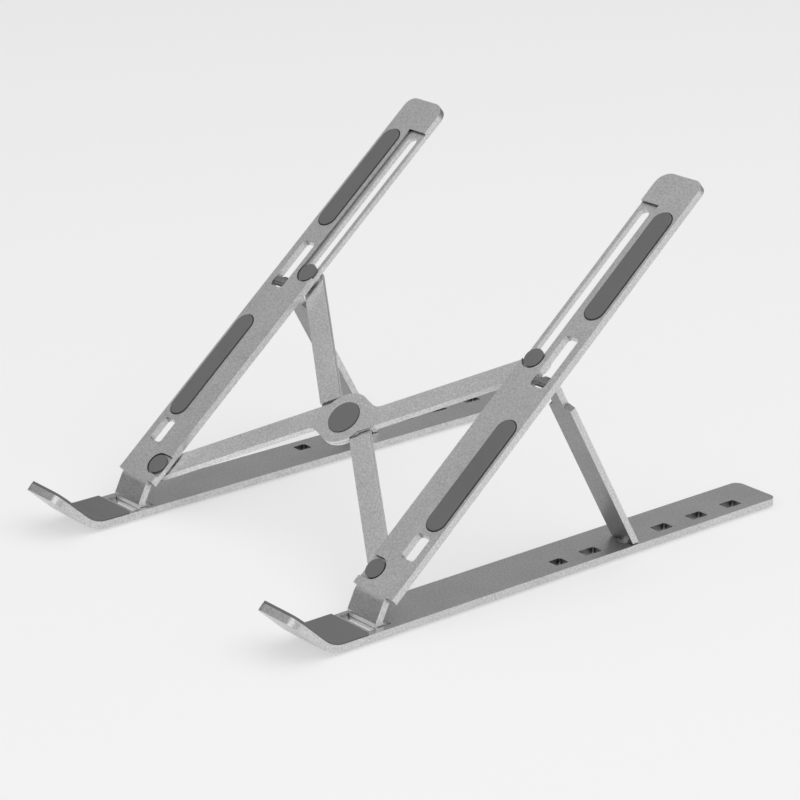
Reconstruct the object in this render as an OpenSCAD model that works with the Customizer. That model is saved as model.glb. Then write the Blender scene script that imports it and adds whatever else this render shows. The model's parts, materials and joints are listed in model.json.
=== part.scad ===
// Folding laptop stand. Each side has a top rail hinged to a base rail and propped
// by a folding leg. Two S-shaped bars cross under the top rails and let the stand
// close sideways: front ends turn on rivets, rear ends slide along the rails.

/* [Rails] */
// Width of every rail
rail_w = 22; // [20:0.5:26]
// Thickness of every rail
rail_t = 3; // [2.6:0.1:3.4]
// Slope of the top rails
tilt = 40.25; // [38:0.25:42]
// From the pivot line to the inner edge of a rail
inner_edge = 4.56; // [4.5:0.01:4.7]
// Top rail ahead of its front pivot
top_front = 8.1; // [7.5:0.1:9]
// Top rail behind its front pivot
top_rear = 188.2; // [184:0.1:195]
// Base rail behind its front pivot
base_rear = 191.4; // [188:0.1:198]

/* [Tilt hinge] */
// Hinge ahead of the front pivot, along the top rail
hinge_u = 17.2; // [16.8:0.1:17.6]
// Hinge below the top face of the top rail
hinge_n = 8; // [7.8:0.1:8.4]
// Outer radius of the hinge knuckle
knuckle_r = 2; // [1.8:0.1:2.2]
// Radius of the hinge pin
hinge_pin_r = 0.9; // [0.7:0.05:1]

/* [Cross bars] */
// Between the two pivots of a bar
bar_len = 167.05; // [165:0.05:169]
// Width of a bar
bar_w = 8.82; // [8:0.02:9]
// Half the distance between the pivot lines when folded
fold_half = 4.86; // [4.86:0.01:5]
// Angle each bar turns between folded and open
open_turn = 50.51; // [46:0.01:52]
// Radius of the round hub in the middle
hub_r = 11.3; // [11:0.1:11.5]
// Slant of the blends that run from the hub to the inner edges of the arms
blend_turn = 35.5; // [34:0.5:37]
// Radius where a blend meets an arm
blend_r = 5; // [4:0.5:6]

/* [Support leg] */
// Leg hinge behind the front pivot, along the rail
leg_u = 90.8; // [90:0.1:92]
// Leg hinge below the top face of the rail
leg_n = 1.7; // [1.7:0.05:1.8]
// Lean of the leg from upright
leg_lean = 29.2; // [28.8:0.1:29.6]
// Thickness of the leg plate
leg_t = 2.7; // [2.4:0.1:2.8]
// Width of the leg plate
leg_w = 11.8; // [11:0.1:12]
// Depth of the tongue in the base rail
tongue_d = 1.5; // [1.2:0.1:1.8]

/* [Lip and pads] */
// Turn of the front lip
lip_turn = 43; // [40:1:46]
// Straight part of the lip
lip_straight = 17; // [14:0.5:19]
// Corner radius at the tip of the lip
tip_r = 4; // [2:0.5:6]
// Thickness of the soft lip pad
lip_pad_t = 1; // [0.6:0.1:1.4]
// Height of the soft pads above the top rail
pad_proud = 0.65; // [0.4:0.05:1]
// Thickness of the feet
foot_t = 1; // [0.6:0.1:1.5]

/* [Hidden] */
$fn = 48;

// Plan layout of the crossed bars
fold_angle = asin(2 * fold_half / bar_len);
open_angle = fold_angle + open_turn;
half_span = bar_len / 2 * sin(open_angle);
slider_u = bar_len * cos(open_angle);
slider_fold_u = bar_len * cos(fold_angle);

// Heights: the desk is at z = 0
base_top = foot_t + rail_t;
hinge_z = base_top - rail_t / 2;
pivot_z = hinge_z + hinge_u * sin(tilt) + hinge_n * cos(tilt);
hinge_back = hinge_n * sin(tilt) - hinge_u * cos(tilt);

// Lip arc, then the shift that centres the stand front to back
lip_flat_y = -27.5;
lip_r = 13;
tip_y = lip_flat_y - (lip_r + rail_t) * sin(lip_turn) - lip_straight * cos(lip_turn);
shift_y = -(tip_y + base_rear) / 2;

// Widths across a rail, from the pivot line
w_in = -inner_edge;
w_out = rail_w - inner_edge;
win_w0 = 6.9;
win_w1 = 14.1;
hole_w0 = 8.1;
hole_w1 = 13.3;
leg_c = (hole_w0 + hole_w1) / 2;
neck_w = 5.8;
shoulder_s = 12.8;
tab_w0 = -2.2;
tab_w1 = 14;
tab_gap = 0.4;

// Depths below the top face of the top rail
recess_d = 1;
bar_a_top = 3.6;
bar_a_bot = 6.1;
bar_b_top = 4;
bar_b_bot = 6.3;
lap_a = 4.9;
lap_b = 5.15;

// Rivets
eye_r = 1.6;
front_r = 1.95;
slide_r = 2.3;
slot_r = 2.65;
head_r = 3.6;
cap_r = 4.1;
pocket_r = 4.85;
run_gap = 0.05;
press = 0.02;
hub_pin_r = 2.5;
hub_cap_r = 6.85;

alu = [0.74, 0.75, 0.76];
alu_dark = [0.6, 0.61, 0.62];
steel = [0.5, 0.5, 0.52];
soft = [0.36, 0.37, 0.38];

// ---- frames -------------------------------------------------------------

// Local x runs outward from the pivot line of one side
module on_side(side) {
    mirror([side < 0 ? 1 : 0, 0, 0])
        translate([half_span, shift_y, 0])
            children();
}

// Local y runs up a top rail from the front pivot, local z out of its top face
module on_rail() {
    translate([0, 0, pivot_z])
        rotate([tilt, 0, 0])
            children();
}

// The plane of the bars, centred between the four pivots
module on_hub() {
    translate([0, shift_y, pivot_z])
        rotate([tilt, 0, 0])
            translate([0, slider_u / 2, 0])
                children();
}

// Leg frame: z down the leg, y to the rear of it
module on_leg() {
    on_rail()
        translate([0, leg_u, -leg_n])
            rotate([leg_lean - tilt, 0, 0])
                children();
}

// A side profile drawn as (y, z), made solid from x = a to x = b
module across(a, b) {
    translate([a, 0, 0])
        rotate([90, 0, 90])
            linear_extrude(b - a)
                children();
}

// A disc or plug from depth a down to depth b
module plug(r, a, b) {
    translate([0, 0, -b])
        cylinder(r = r, h = b - a);
}

module box(x0, x1, y0, y1, z0, z1) {
    translate([x0, y0, z0])
        cube([x1 - x0, y1 - y0, z1 - z0]);
}

module round_rect(x0, x1, y0, y1, r) {
    translate([x0 + r, y0])
        square([x1 - x0 - 2 * r, y1 - y0]);
    translate([x0, y0 + r])
        square([x1 - x0, y1 - y0 - 2 * r]);
    for (x = [x0 + r, x1 - r], y = [y0 + r, y1 - r])
        translate([x, y])
            circle(r);
}

// Plate outline with a round corner radius at each rear corner
module end_plate(x0, x1, y0, y1, ri, ro) {
    translate([x0, y0])
        square([x1 - x0, y1 - y0 - max(ri, ro)]);
    translate([x0 + ri, y0])
        square([x1 - x0 - ri - ro, y1 - y0]);
    translate([x0, y0])
        square([x1 - x0 - ro, y1 - y0 - ri]);
    translate([x0 + ri, y0])
        square([x1 - x0 - ri, y1 - y0 - ro]);
    translate([x0 + ri, y1 - ri])
        circle(ri);
    translate([x1 - ro, y1 - ro])
        circle(ro);
}

// A strip of half width r between two points
module strip(p, q, r) {
    translate(p)
        circle(r);
    translate(q)
        circle(r);
    translate(p)
        rotate(atan2(q[1] - p[1], q[0] - p[0]))
            translate([0, -r])
                square([norm(q - p), 2 * r]);
}

// ---- base rails -----------------------------------------------------------

// Flat and bend of the lip, between two offsets from its top face
module lip_profile(y_end, low, high) {
    r_in = lip_r - high;
    r_out = lip_r - low;
    translate([lip_flat_y, low])
        square([y_end - lip_flat_y, high - low]);
    intersection() {
        translate([lip_flat_y, lip_r])
            difference() {
                circle(r_out);
                circle(r_in);
            }
        translate([lip_flat_y, lip_r])
            polygon([[0, 0], [0, -40], [-40 * tan(lip_turn), -40]]);
    }
}

// The upturned straight between the same two offsets, with round tip corners
module lip_straight_plate(x0, x1, low, high, r) {
    translate([0, lip_flat_y, lip_r])
        rotate([-lip_turn, 0, 0])
            translate([0, 0, low - lip_r])
                linear_extrude(high - low)
                    mirror([0, 1])
                        end_plate(x0, x1, 0, lip_straight, r, r);
}

// Front and rear edge of each stop hole
holes = [[77.2, 83.2], for (i = [0 : 4]) [92.5 + 18.87 * i, 100.4 + 18.87 * i]];

module base_rail() {
    difference() {
        union() {
            translate([0, 0, foot_t])
                linear_extrude(rail_t)
                    end_plate(w_in, w_out, 0, base_rear, 3.5, 3.5);
            translate([0, 0, base_top]) {
                across(w_in, w_out)
                    lip_profile(1, -rail_t, 0);
                lip_straight_plate(w_in, w_out, -rail_t, 0, tip_r);
            }
        }
        for (h = holes)
            translate([0, 0, -1])
                linear_extrude(base_top + 2)
                    round_rect(hole_w0, hole_w1, h[0], h[1], 0.8);
        box(tab_w0 - tab_gap, tab_w1 + tab_gap, -14.2, -4.1, -1, base_top + 1);
        translate([0, hinge_back, hinge_z])
            across(w_in + 0.6, w_out - 0.6)
                circle(hinge_pin_r - press);
    }
}

module lip_pad() {
    translate([0, 0, base_top]) {
        across(w_in + 0.25, w_out - 0.25)
            lip_profile(-16.6, 0, lip_pad_t);
        lip_straight_plate(w_in + 0.25, w_out - 0.25, 0, lip_pad_t, tip_r);
    }
}

module foot(y0, y1) {
    linear_extrude(foot_t)
        round_rect(-0.6, 13.5, y0, y1, 3);
}

module tilt_hinge_pin() {
    translate([0, hinge_back, hinge_z])
        across(w_in + 0.65, w_out - 0.65)
            circle(hinge_pin_r);
}

// ---- top rails ------------------------------------------------------------

// Side view of the tab: a bend out of the rail, a straight, then down to the knuckle
module tab_profile() {
    turn = 24;
    bend_r = 6;
    mid_r = bend_r - rail_t / 2;
    hinge = [-hinge_u, -hinge_n];
    start = [-top_front - mid_r * sin(turn), mid_r * cos(turn) - bend_r];
    elbow = start - 6.92 * [cos(turn), sin(turn)];
    translate([-top_front, -rail_t])
        square([2, rail_t]);
    translate([-top_front, -bend_r])
        intersection() {
            difference() {
                circle(bend_r);
                circle(bend_r - rail_t);
            }
            polygon([[0, 0], [0, 20], [-20 * tan(turn), 20]]);
        }
    strip(start, elbow, rail_t / 2);
    strip(elbow, hinge, rail_t / 2);
    translate(hinge)
        circle(knuckle_r);
}

module pad_shape(u0, u1, gap) {
    strip([11.45, u0 + 4.55], [11.45, u1 - 4.55], 4.55 + gap);
}

module top_rail() {
    difference() {
        union() {
            translate([0, 0, -rail_t])
                linear_extrude(rail_t)
                    end_plate(w_in, w_out, -top_front, top_rear, 6, 4.3);
            across(tab_w0, tab_w1)
                tab_profile();
        }
        // knuckle bore and leg pin bore
        translate([0, -hinge_u, -hinge_n])
            across(tab_w0 - 1, tab_w1 + 1)
                circle(hinge_pin_r + run_gap);
        translate([0, leg_u, -leg_n])
            across(5, w_out - 0.6)
                circle(0.8 - press);
        // front pivot pocket and bore
        plug(pocket_r, -1, recess_d);
        box(w_in - 1, 0, -pocket_r, pocket_r, -recess_d, 1);
        plug(front_r + run_gap, -1, rail_t + 1);
        // sliding track and slot for the rear pivot
        translate([0, slider_u, 0])
            plug(pocket_r, -1, recess_d);
        box(w_in - 1, pocket_r, slider_u, 173.7, -recess_d, 1);
        translate([0, 0, -rail_t - 1])
            linear_extrude(rail_t + 2)
                strip([0, slider_u], [0, slider_fold_u + 1.6], slot_r);
        // small slot and leg window
        translate([0, 0, -rail_t - 1])
            linear_extrude(rail_t + 2)
                round_rect(win_w0, win_w1, 8, 19, 1.5);
        translate([0, 0, -rail_t - 1])
            linear_extrude(rail_t + 2)
                round_rect(win_w0, win_w1, 88, 111.4, 1.5);
        // shallow seats for the pads
        for (p = [[21.3, 72.3], [120.2, 171.7]])
            translate([0, 0, -0.4])
                linear_extrude(1)
                    pad_shape(p[0], p[1], 0.25);
    }
}

module pad(u0, u1) {
    on_rail()
        translate([0, 0, -0.4])
            linear_extrude(0.4 + pad_proud)
                pad_shape(u0, u1, 0);
}

module leg_hinge_pin() {
    on_rail()
        translate([0, leg_u, -leg_n])
            across(5.05, w_out - 0.65)
                circle(0.8);
}

// ---- support leg ----------------------------------------------------------

leg_h = pivot_z + leg_u * sin(tilt) - leg_n * cos(tilt) - base_top;

module leg_cut(depth) {
    rotate([-leg_lean, 0, 0])
        box(-40, 60, -60, 90, -leg_h - 60, -leg_h - depth);
}

module support_leg() {
    face = 1.9;
    on_leg() {
        difference() {
            union() {
                translate([leg_c, face + leg_t, 0])
                    rotate([90, 0, 0])
                        linear_extrude(leg_t)
                            leg_outline();
                across(leg_c - neck_w / 2, leg_c + neck_w / 2)
                    crank_profile(face + leg_t / 2);
            }
            leg_cut(-0.3);
            across(0, 30)
                circle(0.8 + run_gap);
        }
        difference() {
            box(leg_c - 2.25, leg_c + 2.25, face, face + leg_t, -leg_h - 12, -leg_h + 6);
            leg_cut(tongue_d);
        }
    }
}

module leg_outline() {
    translate([-neck_w / 2, -shoulder_s - 1])
        square([neck_w, shoulder_s - 1]);
    polygon([[-neck_w / 2, -shoulder_s], [neck_w / 2, -shoulder_s],
        [leg_w / 2, -shoulder_s - 1.5], [leg_w / 2, -leg_h - 20],
        [-leg_w / 2, -leg_h - 20], [-leg_w / 2, -shoulder_s - 1.5]]);
}

module crank_profile(mid) {
    circle(1.6);
    strip([0, 0], [mid, -2], leg_t / 2);
    strip([mid, -2], [mid, -4], leg_t / 2);
}

// ---- crossed bars ---------------------------------------------------------

// Both arms of a bar in plan, folded position, before it is turned open
module bar_arms(hand) {
    reach = bar_len / 2 * cos(fold_angle);
    for (end = [1, -1])
        strip([hand * end * fold_half, 0], [hand * end * fold_half, end * reach], bar_w / 2);
}

module bar_eyes(hand, r) {
    reach = bar_len / 2 * cos(fold_angle);
    for (end = [1, -1])
        translate([hand * end * fold_half, end * reach])
            circle(r);
}

// Band along the other bar that is cut away where the two cross
module lap_box(z0, z1) {
    box(-hub_r - 0.2, hub_r + 0.2, -hub_r - 10, hub_r + 10, z0, z1);
}

// Blend from the hub to the inner edge of each arm, over the lower bar
module hub_blend() {
    foot = hub_r - 0.1;
    edge_x = bar_w / 2 - fold_half;
    edge_y = -foot / cos(blend_turn) + edge_x * tan(blend_turn);
    end_y = edge_y - blend_r * (1 - sin(blend_turn)) / cos(blend_turn);
    step = (90 - blend_turn) / 6;
    curve = [for (k = [0:6])
        [edge_x + blend_r + blend_r * cos(90 + blend_turn + k * step),
            end_y + blend_r * sin(90 + blend_turn + k * step)]];
    start = [[0, 0], [foot * sin(blend_turn), -foot * cos(blend_turn)]];
    finish = [[edge_x - 2, end_y], [edge_x - 2, 0]];
    for (turn = [0, 180])
        rotate(turn)
            polygon(concat(start, curve, finish));
}

module x_bar_upper_solid() {
    rotate(-open_turn)
        difference() {
            union() {
                translate([0, 0, -bar_a_bot])
                    linear_extrude(bar_a_bot - bar_a_top)
                        bar_arms(1);
                plug(hub_r, bar_a_top, lap_a);
                translate([0, 0, 0.02 - bar_b_top])
                    linear_extrude(bar_b_top - bar_a_top - 0.02)
                        hub_blend();
            }
            plug(hub_r + 0.4, lap_a, bar_a_bot + 1);
            // room under it for the lower bar
            rotate(2 * open_turn)
                lap_box(-bar_a_bot - 1, -lap_a);
            plug(hub_cap_r + 0.15, 0, bar_a_top + 0.5);
            plug(hub_pin_r - press, 0, bar_a_bot + 1);
            translate([0, 0, -bar_a_bot - 1])
                linear_extrude(bar_a_bot)
                    bar_eyes(1, eye_r - press);
        }
}

module x_bar_lower_solid() {
    rotate(open_turn)
        difference() {
            union() {
                translate([0, 0, -bar_b_bot])
                    linear_extrude(bar_b_bot - bar_b_top)
                        bar_arms(-1);
                plug(hub_r - 0.1, lap_b, bar_b_bot);
            }
            plug(hub_r + 0.4, 0, lap_b);
            // straight ends beside the upper bar
            rotate(-2 * open_turn)
                lap_box(-lap_b, 0);
            plug(hub_pin_r + run_gap, 0, bar_b_bot + 1);
            plug(3.8, bar_b_bot - 0.45, bar_b_bot + 1);
            translate([0, 0, -bar_b_bot - 1])
                linear_extrude(bar_b_bot)
                    bar_eyes(-1, eye_r - press);
        }
}

module center_rivet_solid() {
    plug(3.4, bar_a_top + 0.2, bar_a_top + 0.5);
    plug(hub_pin_r, bar_a_top + 0.5, bar_b_bot - 0.4);
    plug(3.6, bar_b_bot - 0.4, bar_b_bot);
}

module center_cap_solid() {
    difference() {
        plug(hub_cap_r, bar_a_top - 0.4, bar_a_top + 0.5);
        plug(3.4 + run_gap, bar_a_top + 0.15, bar_a_top + 1);
    }
}

module center_washer_solid() {
    difference() {
        plug(6, lap_a + 0.02, lap_b - 0.02);
        plug(hub_pin_r + 0.1, 0, 10);
    }
}

// ---- end pivots -----------------------------------------------------------

// Rivet from its flat head in the pocket down to the underside of the bar
module end_rivet(shank_r, top, bot) {
    plug(head_r, recess_d - 0.45, recess_d - 0.05);
    plug(shank_r, recess_d - 0.05, top);
    plug(eye_r, top, bot);
}

module end_cap() {
    difference() {
        plug(cap_r, 0.08, recess_d - 0.05);
        plug(head_r + run_gap, recess_d - 0.5, recess_d + 1);
    }
}

module end_washer(shank_r, top) {
    difference() {
        plug(4.2, rail_t + 0.06, top - 0.02);
        plug(shank_r + run_gap, 0, 10);
    }
}

module at_front(side) {
    on_side(side)
        on_rail()
            children();
}

module at_slider(side) {
    on_side(side)
        on_rail()
            translate([0, slider_u, 0])
                children();
}

// ---- nodes ----------------------------------------------------------------

module base_rail_left() { color(alu) on_side(-1) base_rail(); }
module base_rail_right() { color(alu) on_side(1) base_rail(); }
module lip_pad_left() { color(soft) on_side(-1) lip_pad(); }
module lip_pad_right() { color(soft) on_side(1) lip_pad(); }
module foot_front_left() { color(soft) on_side(-1) foot(12, 62); }
module foot_front_right() { color(soft) on_side(1) foot(12, 62); }
module foot_rear_left() { color(soft) on_side(-1) foot(178.6, 188.4); }
module foot_rear_right() { color(soft) on_side(1) foot(178.6, 188.4); }
module tilt_hinge_pin_left() { color(steel) on_side(-1) tilt_hinge_pin(); }
module tilt_hinge_pin_right() { color(steel) on_side(1) tilt_hinge_pin(); }
module top_rail_left() { color(alu) on_side(-1) on_rail() top_rail(); }
module top_rail_right() { color(alu) on_side(1) on_rail() top_rail(); }
module pad_front_left() { color(soft) on_side(-1) pad(21.3, 72.3); }
module pad_front_right() { color(soft) on_side(1) pad(21.3, 72.3); }
module pad_rear_left() { color(soft) on_side(-1) pad(120.2, 171.7); }
module pad_rear_right() { color(soft) on_side(1) pad(120.2, 171.7); }
module leg_hinge_pin_left() { color(steel) on_side(-1) leg_hinge_pin(); }
module leg_hinge_pin_right() { color(steel) on_side(1) leg_hinge_pin(); }
module support_leg_left() { color(alu_dark) on_side(-1) support_leg(); }
module support_leg_right() { color(alu_dark) on_side(1) support_leg(); }
module x_bar_upper() { color(alu) on_hub() x_bar_upper_solid(); }
module x_bar_lower() { color(alu) on_hub() x_bar_lower_solid(); }
module center_rivet() { color(steel) on_hub() center_rivet_solid(); }
module center_cap() { color(soft) on_hub() center_cap_solid(); }
module center_washer() { color(steel) on_hub() center_washer_solid(); }
module front_rivet_left() { color(steel) at_front(-1) end_rivet(front_r, bar_a_top, bar_a_bot); }
module front_rivet_right() { color(steel) at_front(1) end_rivet(front_r, bar_b_top, bar_b_bot); }
module front_cap_left() { color(soft) at_front(-1) end_cap(); }
module front_cap_right() { color(soft) at_front(1) end_cap(); }
module front_washer_left() { color(steel) at_front(-1) end_washer(front_r, bar_a_top); }
module front_washer_right() { color(steel) at_front(1) end_washer(front_r, bar_b_top); }
module slider_rivet_left() { color(steel) at_slider(-1) end_rivet(slide_r, bar_b_top, bar_b_bot); }
module slider_rivet_right() { color(steel) at_slider(1) end_rivet(slide_r, bar_a_top, bar_a_bot); }
module slider_cap_left() { color(soft) at_slider(-1) end_cap(); }
module slider_cap_right() { color(soft) at_slider(1) end_cap(); }
module slider_washer_left() { color(steel) at_slider(-1) end_washer(slide_r, bar_b_top); }
module slider_washer_right() { color(steel) at_slider(1) end_washer(slide_r, bar_a_top); }

base_rail_left();
base_rail_right();
lip_pad_left();
lip_pad_right();
foot_front_left();
foot_front_right();
foot_rear_left();
foot_rear_right();
tilt_hinge_pin_left();
tilt_hinge_pin_right();
top_rail_left();
top_rail_right();
pad_front_left();
pad_front_right();
pad_rear_left();
pad_rear_right();
leg_hinge_pin_left();
leg_hinge_pin_right();
support_leg_left();
support_leg_right();
x_bar_upper();
x_bar_lower();
center_rivet();
center_cap();
center_washer();
front_rivet_left();
front_rivet_right();
front_cap_left();
front_cap_right();
front_washer_left();
front_washer_right();
slider_rivet_left();
slider_rivet_right();
slider_cap_left();
slider_cap_right();
slider_washer_left();
slider_washer_right();
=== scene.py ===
"""Folding laptop stand: materials, soft pads, floor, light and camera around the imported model."""
import json
import math

import bmesh
import bpy
from mathutils import Matrix, Vector


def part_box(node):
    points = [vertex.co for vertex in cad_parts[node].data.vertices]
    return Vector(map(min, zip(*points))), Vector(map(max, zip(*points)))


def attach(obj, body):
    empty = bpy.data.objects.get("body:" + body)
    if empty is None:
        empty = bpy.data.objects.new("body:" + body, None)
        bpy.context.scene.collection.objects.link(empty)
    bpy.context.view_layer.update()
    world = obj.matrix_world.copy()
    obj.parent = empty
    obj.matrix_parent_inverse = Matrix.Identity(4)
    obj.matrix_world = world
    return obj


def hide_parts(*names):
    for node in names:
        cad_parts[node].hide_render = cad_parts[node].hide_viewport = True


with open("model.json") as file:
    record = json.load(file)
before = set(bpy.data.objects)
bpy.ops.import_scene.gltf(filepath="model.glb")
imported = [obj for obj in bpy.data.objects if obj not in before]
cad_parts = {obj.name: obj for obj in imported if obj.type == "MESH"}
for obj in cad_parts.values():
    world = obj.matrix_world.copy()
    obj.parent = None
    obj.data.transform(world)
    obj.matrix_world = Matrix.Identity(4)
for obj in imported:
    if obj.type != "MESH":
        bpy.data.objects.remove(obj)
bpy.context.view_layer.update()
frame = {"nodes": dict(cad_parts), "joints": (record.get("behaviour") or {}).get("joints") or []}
nodes = frame["nodes"]
joints = {joint["name"]: joint for joint in frame["joints"]}
MM = 0.001
WELD_REACH = 0.002 * MM
SIDES = ("left", "right")

# Directions of the top rails, from the bar hinge: its axis is the normal of their top faces
RAIL_N = Vector(joints["bars_fold"]["axis"]).normalized()
RAIL_U = Vector((0.0, RAIL_N.z, -RAIL_N.y))


# ---- materials ------------------------------------------------------------

class Mat:
    """A node material being wired up."""

    def __init__(self, name):
        self.material = bpy.data.materials.new(name)
        self.material.use_nodes = True
        self.tree = self.material.node_tree
        self.shader = self.tree.nodes["Principled BSDF"]
        self.coords = self.add("ShaderNodeTexCoord").outputs["Object"]

    def add(self, kind, **values):
        node = self.tree.nodes.new(kind)
        for key, value in values.items():
            setattr(node, key, value)
        return node

    def link(self, source, target):
        self.tree.links.new(source, target)

    def scaled(self, x, y, z):
        """Object coordinates stretched along each axis."""
        mapping = self.add("ShaderNodeMapping")
        mapping.inputs["Scale"].default_value = (x, y, z)
        self.link(self.coords, mapping.inputs["Vector"])
        return mapping.outputs["Vector"]

    def noise(self, scale, detail=3.0, rough=0.5, vector=None):
        node = self.add("ShaderNodeTexNoise")
        node.inputs["Scale"].default_value = scale
        node.inputs["Detail"].default_value = detail
        node.inputs["Roughness"].default_value = rough
        self.link(vector or self.coords, node.inputs["Vector"])
        return node.outputs["Fac"]

    def ramp(self, value, low, high, at=(0.3, 0.7)):
        node = self.add("ShaderNodeValToRGB")
        for element, place, tone in zip(node.color_ramp.elements, at, (low, high)):
            element.position = place
            element.color = (*tone, 1.0) if isinstance(tone, tuple) else (tone, tone, tone, 1.0)
        self.link(value, node.inputs["Fac"])
        return node.outputs["Color"]

    def mix(self, factor, a, b, blend="MIX"):
        node = self.add("ShaderNodeMix", data_type="RGBA", blend_type=blend)
        for socket, value in ((node.inputs[0], factor), (node.inputs[6], a), (node.inputs[7], b)):
            if isinstance(value, bpy.types.NodeSocket):
                self.link(value, socket)
            elif isinstance(value, float):
                socket.default_value = value
            else:
                socket.default_value = (*value, 1.0)
        return node.outputs[2]

    def bump(self, height, strength, distance, under=None):
        node = self.add("ShaderNodeBump")
        node.inputs["Strength"].default_value = strength
        node.inputs["Distance"].default_value = distance
        self.link(height, node.inputs["Height"])
        if under is not None:
            self.link(under, node.inputs["Normal"])
        return node.outputs["Normal"]

    def painted_crevice_shade(self, colour, reach, low, local=True, at=(0.3, 0.9)):
        """Paints shade into a colour inside holes, steps and corners: the piece's own, or its seat's
        too.
        """
        node = self.add("ShaderNodeAmbientOcclusion", samples=12, only_local=local)
        node.inputs["Distance"].default_value = reach
        shade = self.ramp(node.outputs["AO"], low, 1.0, at=at)
        return self.mix(1.0, colour, shade, "MULTIPLY")

    def set(self, **values):
        for key, value in values.items():
            socket = self.shader.inputs[key.replace("_", " ")]
            if isinstance(value, bpy.types.NodeSocket):
                self.link(value, socket)
            elif isinstance(value, tuple):
                socket.default_value = (*value, 1.0)
            else:
                socket.default_value = value


def blasted_aluminium(name, tone, rough=0.36, reach=3.0 * MM, shade_at=(0.3, 0.9)):
    """Bead-blasted, clear-anodised aluminium: fine sparkle, faint clouding, soft satin gloss, and
    painted shade in its holes, steps and corners.
    """
    mat = Mat(name)
    grain = mat.noise(1250.0, detail=4.0, rough=0.7)
    pits = mat.noise(2600.0, detail=3.0, rough=0.65)
    cloud = mat.noise(60.0, detail=3.0, rough=0.55)
    dark = tuple(channel * 0.78 for channel in tone)
    light = tuple(min(1.0, channel * 1.22) for channel in tone)
    speckle = mat.ramp(grain, dark, light, at=(0.36, 0.64))
    colour = mat.mix(0.22, speckle, mat.ramp(cloud, dark, light, at=(0.3, 0.7)))
    mat.set(
        # Base colour carries painted shade in holes, steps and corners
        Base_Color=mat.painted_crevice_shade(colour, reach, 0.02, at=shade_at),
        Metallic=0.97,
        Roughness=mat.ramp(pits, rough - 0.05, rough + 0.08, at=(0.3, 0.7)),
        Normal=mat.bump(grain, 0.16, 0.00004, under=mat.bump(pits, 0.22, 0.00006)),
    )
    return mat.material


def cut_edge(name):
    """The bright chamfer left by the last cut along every edge: polished, with fine tool lines."""
    mat = Mat(name)
    lines = mat.noise(900.0, detail=2.0, vector=mat.scaled(1.0, 0.2, 0.2))
    mat.set(
        Base_Color=mat.ramp(lines, (0.90, 0.90, 0.91), (0.97, 0.97, 0.98)),
        Metallic=1.0,
        Roughness=mat.ramp(lines, 0.24, 0.34),
    )
    return mat.material


def turned_steel(name, tone):
    """Plain steel pins and rivets with fine drawn lines."""
    mat = Mat(name)
    lines = mat.noise(1500.0, detail=2.0, vector=mat.scaled(0.05, 1.0, 1.0))
    dark = tuple(channel * 0.8 for channel in tone)
    mat.set(
        Base_Color=mat.ramp(lines, dark, tone),
        Metallic=1.0,
        Roughness=mat.ramp(lines, 0.24, 0.36),
        Normal=mat.bump(lines, 0.15, 0.00003),
    )
    return mat.material


def silicone(name, tone, rough=0.62):
    """Matt moulded silicone: a very fine leathery texture, dust-soft sheen, and painted shade in its
    hollows and where its seat or neighbours come close.
    """
    mat = Mat(name)
    grain = mat.noise(3400.0, detail=4.0, rough=0.6)
    cloud = mat.noise(55.0, detail=2.0)
    dark = tuple(channel * 0.90 for channel in tone)
    light = tuple(channel * 1.10 for channel in tone)
    colour = mat.mix(0.35, mat.ramp(grain, dark, light), mat.ramp(cloud, dark, light))
    mat.set(
        # Base colour carries painted shade from the piece itself and from the parts around it
        Base_Color=mat.painted_crevice_shade(colour, 1.2 * MM, 0.08, local=False),
        Roughness=mat.ramp(grain, rough - 0.06, rough + 0.06),
        Normal=mat.bump(grain, 0.25, 0.00005),
        Specular_IOR_Level=0.35,
        Sheen_Weight=0.08,
    )
    return mat.material


RAIL = blasted_aluminium("rail_blasted_aluminium", (0.66, 0.66, 0.665))
# The base rails get a wider, stronger painted shade around their holes and edges
BASE = blasted_aluminium(
    "base_blasted_aluminium", (0.64, 0.64, 0.645), reach=6.0 * MM, shade_at=(0.60, 0.97)
)
BAR = blasted_aluminium("bar_blasted_aluminium", (0.75, 0.75, 0.755))
# The legs' faces are a darker copy of the same aluminium: painted shade; their sides use the rail's
# lighter tone
LEG_PAINTED_SHADE = blasted_aluminium("leg_aluminium_painted_shade", (0.31, 0.31, 0.314))
EDGE = cut_edge("cut_edge_aluminium")
STEEL = turned_steel("pin_turned_steel", (0.50, 0.50, 0.52))
PAD = silicone("pad_silicone", (0.155, 0.155, 0.157))
LIP = silicone("lip_silicone", (0.162, 0.162, 0.164), rough=0.58)
FOOT = silicone("foot_silicone", (0.155, 0.155, 0.157))
CAP = silicone("cap_silicone", (0.168, 0.168, 0.170), rough=0.55)


# ---- CAD nodes ------------------------------------------------------------

EDGE_SLOT = 1
SIDES_SLOT = 2
# A face whose normal leans this far across the stand is one of a piece's two sides
SIDEWAYS = 0.7


def finish_node(name, material, edge=None, sides=None, width=0.3 * MM, segments=2, angle=28.0):
    """Gives a CAD node its material and small real edges. A material for sides needs one for edges."""
    node = nodes[name]
    node.data.materials.clear()
    node.data.materials.append(material)
    for face in node.data.polygons:
        on_side = sides is not None and abs(face.normal.x) > SIDEWAYS
        face.material_index = SIDES_SLOT if on_side else 0
        face.use_smooth = True
    weld = node.modifiers.new("weld", "WELD")
    weld.merge_threshold = WELD_REACH
    bevel = node.modifiers.new("edges", "BEVEL")
    bevel.width = width
    bevel.segments = segments
    bevel.limit_method = "ANGLE"
    bevel.angle_limit = math.radians(angle)
    bevel.miter_outer = "MITER_ARC"
    bevel.use_clamp_overlap = True
    if edge is not None:
        node.data.materials.append(edge)
        bevel.material = EDGE_SLOT
    if sides is not None:
        node.data.materials.append(sides)
    normals = node.modifiers.new("normals", "WEIGHTED_NORMAL")
    normals.keep_sharp = False
    normals.weight = 80


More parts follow.
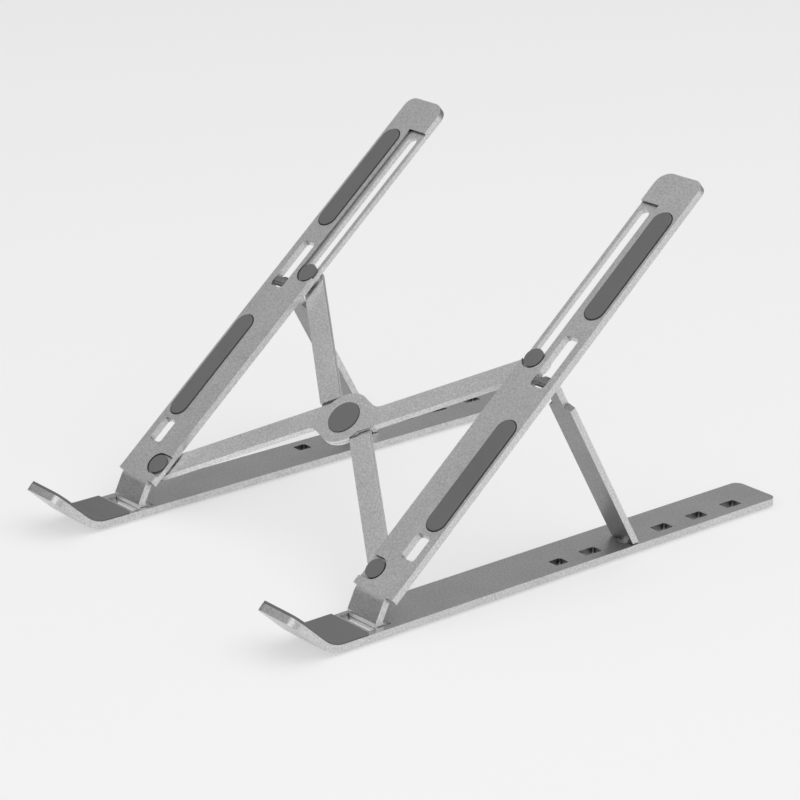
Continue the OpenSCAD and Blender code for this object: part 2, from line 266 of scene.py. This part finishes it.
for side in SIDES:
    finish_node(f"top_rail_{side}", RAIL, EDGE, width=0.28 * MM)
    finish_node(f"base_rail_{side}", BASE, EDGE, width=0.30 * MM)
    # Leg faces take the darker painted-shade copy, leg sides the lighter rail copy
    finish_node(f"support_leg_{side}", LEG_PAINTED_SHADE, EDGE, sides=RAIL, width=0.25 * MM)
    finish_node(f"lip_pad_{side}", LIP, width=0.30 * MM, segments=3)
    for part in ("tilt_hinge_pin", "leg_hinge_pin"):
        finish_node(f"{part}_{side}", STEEL, width=0.12 * MM)
    for part in ("front_rivet", "slider_rivet", "front_washer", "slider_washer"):
        finish_node(f"{part}_{side}", STEEL, width=0.08 * MM)
    for part in ("front_cap", "slider_cap"):
        finish_node(f"{part}_{side}", CAP, width=0.18 * MM, segments=3)
finish_node("x_bar_upper", BAR, width=0.18 * MM)
finish_node("x_bar_lower", BAR, width=0.18 * MM)
finish_node("center_rivet", STEEL, width=0.08 * MM)
finish_node("center_washer", STEEL, width=0.04 * MM)
finish_node("center_cap", CAP, width=0.20 * MM, segments=3)


# ---- moulded pads and feet -------------------------------------------------

def stadium(half_width, half_length, segments=20):
    """Outline of a round-ended strip, as (across, along) points."""
    points = []
    straight = half_length - half_width
    for end, start in ((1, 0.0), (-1, math.pi)):
        for i in range(segments + 1):
            turn = start + math.pi * i / segments
            points.append((half_width * math.cos(turn), end * straight + half_width * math.sin(turn)))
    return points


def rounded_box(half_width, half_length, radius, segments=8):
    """Outline of a rectangle with round corners, as (across, along) points."""
    points = []
    for i, (sx, sy) in enumerate(((1, 1), (-1, 1), (-1, -1), (1, -1))):
        for k in range(segments + 1):
            turn = math.pi / 2 * (i + k / segments)
            points.append((
                sx * (half_width - radius) + radius * math.cos(turn),
                sy * (half_length - radius) + radius * math.sin(turn),
            ))
    return points


def moulded(name, outline, rings, frame_matrix, material, body, replaced):
    """A moulded strip: rings of (inset, height) lofted from its underside to its crowned face.
    outline(inset) gives the plan at that inset."""
    mesh = bmesh.new()
    loops = []
    for inset, height in rings:
        loops.append([mesh.verts.new((x, y, height)) for x, y in outline(inset)])
    for low, high in zip(loops, loops[1:]):
        count = len(low)
        for i in range(count):
            j = (i + 1) % count
            mesh.faces.new((low[i], low[j], high[j], high[i]))
    mesh.faces.new(list(reversed(loops[0])))
    mesh.faces.new(loops[-1])
    bmesh.ops.recalc_face_normals(mesh, faces=mesh.faces)
    data = bpy.data.meshes.new(name)
    mesh.to_mesh(data)
    mesh.free()
    data.transform(frame_matrix)
    for face in data.polygons:
        face.use_smooth = True
    piece = bpy.data.objects.new(name, data)
    bpy.context.scene.collection.objects.link(piece)
    data.materials.append(material)
    normals = piece.modifiers.new("normals", "WEIGHTED_NORMAL")
    normals.weight = 60
    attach(piece, body)
    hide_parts(replaced)
    return piece


PAD_HALF_WIDTH = 4.55 * MM
FOOT_RADIUS = 3.0 * MM


def pad_matrix(centre):
    """Frame of a pad on a sloping rail: x across, y up the rail, z out of its top face."""
    matrix = Matrix((Vector((1, 0, 0)), RAIL_U, RAIL_N)).transposed().to_4x4()
    matrix.translation = centre
    return matrix


def pad_rings(top):
    """A thin flange of the pad's dark silicone across the groove floor around the pad, a dark sheet
    that paints the groove's shade, then a rounded rim up to a crowned face.
    """
    return (
        # The first two rings are the dark flange across the groove floor: painted shade
        (-0.20 * MM, 0.0), (-0.20 * MM, 0.06 * MM), (0.20 * MM, 0.08 * MM),
        (0.16 * MM, top - 0.34 * MM), (0.21 * MM, top - 0.20 * MM),
        (0.32 * MM, top - 0.09 * MM), (0.50 * MM, top - 0.03 * MM), (0.90 * MM, top),
    )


def foot_rings(top):
    """A rounded rim at the desk, then straight sides up to the base rail."""
    return (
        (0.5 * MM, 0.0), (0.18 * MM, 0.06 * MM), (0.04 * MM, 0.2 * MM), (0.0, 0.4 * MM), (0.0, top),
    )


for side in SIDES:
    for part in ("pad_front", "pad_rear"):
        node = f"{part}_{side}"
        low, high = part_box(node)
        points = [Vector(v.co) for v in nodes[node].data.vertices]
        along = [point.dot(RAIL_U) for point in points]
        out = [point.dot(RAIL_N) for point in points]
        half_l = (max(along) - min(along)) / 2
        centre = (
            Vector((1, 0, 0)) * (low.x + high.x) / 2
            + RAIL_U * (max(along) + min(along)) / 2
            + RAIL_N * min(out)
        )
        moulded(
            f"soft_{node}", lambda inset, h=half_l: stadium(PAD_HALF_WIDTH - inset, h - inset),
            pad_rings(max(out) - min(out)), pad_matrix(centre), PAD, f"rail_{side}", node,
        )
    for part in ("foot_front", "foot_rear"):
        node = f"{part}_{side}"
        low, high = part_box(node)
        half_w = (high.x - low.x) / 2
        half_l = (high.y - low.y) / 2
        matrix = Matrix.Translation(((low.x + high.x) / 2, (low.y + high.y) / 2, low.z))
        moulded(
            f"soft_{node}",
            lambda inset, w=half_w, h=half_l: rounded_box(w - inset, h - inset, FOOT_RADIUS - inset),
            foot_rings(high.z - low.z), matrix, FOOT, f"base_{side}", node,
        )


# ---- floor, light and camera ----------------------------------------------

def make_floor():
    """A plain pale floor; an even glow keeps it pale far from the lights."""
    size = 3.0
    data = bpy.data.meshes.new("floor")
    corners = [(-size, -size, 0.0), (size, -size, 0.0), (size, size, 0.0), (-size, size, 0.0)]
    data.from_pydata(corners, [], [(0, 1, 2, 3)])
    floor = bpy.data.objects.new("floor", data)
    bpy.context.scene.collection.objects.link(floor)
    mat = Mat("floor_pale")
    mat.set(
        Base_Color=(0.56, 0.56, 0.56),
        Emission_Color=(1.0, 1.0, 1.0),
        Emission_Strength=0.42,
        Roughness=0.9,
        Specular_IOR_Level=0.1,
    )
    data.materials.append(mat.material)


def area_light(name, place, target, width, height, power):
    data = bpy.data.lights.new(name, "AREA")
    data.shape = "RECTANGLE"
    data.size = width
    data.size_y = height
    data.energy = power
    lamp = bpy.data.objects.new(name, data)
    bpy.context.scene.collection.objects.link(lamp)
    lamp.location = place
    lamp.rotation_euler = (Vector(target) - Vector(place)).to_track_quat("-Z", "Y").to_euler()


# Height of a direction above the horizon and the tone of the sky there
SKY = ((0.0, 0.03), (0.14, 0.05), (0.34, 0.30), (0.60, 0.50), (1.0, 0.60))
BACKDROP = (0.90, 0.90, 0.90, 1.0)


def make_world(steps):
    """Pale behind the object; what lights it is dark at the horizon and soft and bright above."""
    world = bpy.data.worlds.new("studio")
    bpy.context.scene.world = world
    world.use_nodes = True
    tree = world.node_tree
    coords = tree.nodes.new("ShaderNodeTexCoord")
    axes = tree.nodes.new("ShaderNodeSeparateXYZ")
    ramp = tree.nodes.new("ShaderNodeValToRGB")
    path = tree.nodes.new("ShaderNodeLightPath")
    mix = tree.nodes.new("ShaderNodeMix")
    mix.data_type = "RGBA"
    while len(ramp.color_ramp.elements) < len(steps):
        ramp.color_ramp.elements.new(0.5)
    for element, (height, tone) in zip(ramp.color_ramp.elements, steps):
        element.position = height
        element.color = (tone, tone, tone, 1.0)
    tree.links.new(coords.outputs["Generated"], axes.inputs["Vector"])
    tree.links.new(axes.outputs["Z"], ramp.inputs["Fac"])
    tree.links.new(path.outputs["Is Camera Ray"], mix.inputs[0])
    tree.links.new(ramp.outputs["Color"], mix.inputs[6])
    mix.inputs[7].default_value = BACKDROP
    tree.links.new(mix.outputs[2], tree.nodes["Background"].inputs["Color"])


def make_camera(place, azimuth, elevation, roll, lens):
    """A camera looking back along an azimuth and elevation, in degrees, with no depth of field."""
    data = bpy.data.cameras.new("camera")
    data.lens = lens
    data.sensor_width = 36.0
    data.clip_start = 0.01
    data.clip_end = 50.0
    camera = bpy.data.objects.new("camera", data)
    bpy.context.scene.collection.objects.link(camera)
    az, el, turn = (math.radians(angle) for angle in (azimuth, elevation, roll))
    back = Vector((math.sin(az) * math.cos(el), -math.cos(az) * math.cos(el), math.sin(el)))
    right = Vector((math.cos(az), math.sin(az), 0.0))
    up = back.cross(right)
    matrix = Matrix((right, up, back)).transposed().to_4x4()
    matrix = matrix @ Matrix.Rotation(turn, 4, "Z")
    matrix.translation = Vector(place)
    camera.matrix_world = matrix
    bpy.context.scene.camera = camera


bpy.context.scene.view_settings.view_transform = "Standard"
make_floor()
make_world(SKY)
area_light("key_right", (1.6, 0.5, 1.1), (0.0, 0.0, 0.03), width=3.0, height=2.2, power=11.0)
area_light("fill_front", (0.2, -1.8, 1.3), (0.0, 0.0, 0.05), width=2.4, height=1.2, power=8.0)
area_light("top_soft", (0.7, 0.2, 2.2), (0.0, 0.0, 0.0), width=3.0, height=3.0, power=15.0)
make_camera(
    (0.82272, -0.68660, 0.43651), azimuth=50.2592, elevation=19.8868, roll=0.1622, lens=132.534
)
